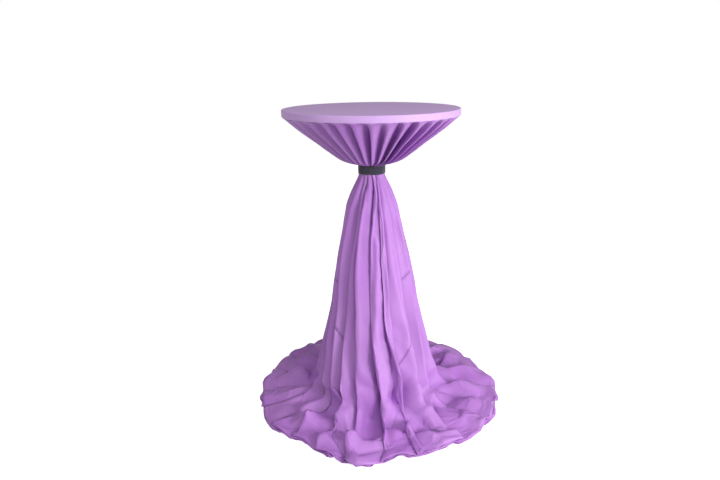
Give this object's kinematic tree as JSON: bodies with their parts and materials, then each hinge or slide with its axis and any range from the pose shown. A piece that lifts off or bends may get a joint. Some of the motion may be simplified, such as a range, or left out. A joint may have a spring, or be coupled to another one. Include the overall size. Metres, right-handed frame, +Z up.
{
  "type": "tablecloth on a bar table",
  "caption": "Tall round bar table covered by a floor-length cloth that a strap gathers against the column under the top.",
  "frame": {"origin": "on the floor, on the axis of the column", "axes": "+Z up along the column; -Y is the front, towards the viewer; the strap's overlap is at the back, +Y"},
  "size_m": [0.9676, 0.9676, 1.1013],
  "materials": {
    "cloth": "soft satin weave",
    "strap": "matt looped pile",
    "board": "melamine-faced chipboard",
    "plastic": "moulded, matt",
    "steel": "brushed",
    "paint": "powder coat"
  },
  "bodies": {
    "table": {"tabletop_board": "board", "tabletop_edge_band": "plastic", "top_spider": "paint", "column_tube": "steel", "column_head_plug": "paint", "column_foot_plug": "paint", "base_collar": "steel", "base_plate": "paint", "tie_rod": "steel", "tie_rod_top_washer": "steel", "tie_rod_top_nut": "steel", "tie_rod_bottom_washer": "steel", "tie_rod_bottom_nut": "steel", "cloth_centre_panel": "cloth", "cloth_left_panel": "cloth", "cloth_right_panel": "cloth", "tie_band": "strap", "tie_band_hook_patch": "strap", "spider_screw_1": "steel", "spider_screw_2": "steel", "spider_screw_3": "steel", "spider_screw_4": "steel", "spider_screw_5": "steel", "spider_screw_6": "steel", "spider_screw_7": "steel", "spider_screw_8": "steel", "glide_nut_front_left": "steel", "glide_nut_front_right": "steel", "glide_nut_back_right": "steel", "glide_nut_back_left": "steel"},
    "glide_front_left": {"glide_pad_front_left": "plastic", "glide_stud_front_left": "steel"},
    "glide_front_right": {"glide_pad_front_right": "plastic", "glide_stud_front_right": "steel"},
    "glide_back_right": {"glide_pad_back_right": "plastic", "glide_stud_back_right": "steel"},
    "glide_back_left": {"glide_pad_back_left": "plastic", "glide_stud_back_left": "steel"}
  },
  "joints": [
    {"name": "glide_front_left_height", "type": "slide", "parent": "table", "child": "glide_front_left", "axis": [0, 0, -1], "range_m": [0, 0.012]},
    {"name": "glide_front_right_height", "type": "slide", "parent": "table", "child": "glide_front_right", "axis": [0, 0, -1], "range_m": [0, 0.012]},
    {"name": "glide_back_right_height", "type": "slide", "parent": "table", "child": "glide_back_right", "axis": [0, 0, -1], "range_m": [0, 0.012]},
    {"name": "glide_back_left_height", "type": "slide", "parent": "table", "child": "glide_back_left", "axis": [0, 0, -1], "range_m": [0, 0.012]}
  ]
}
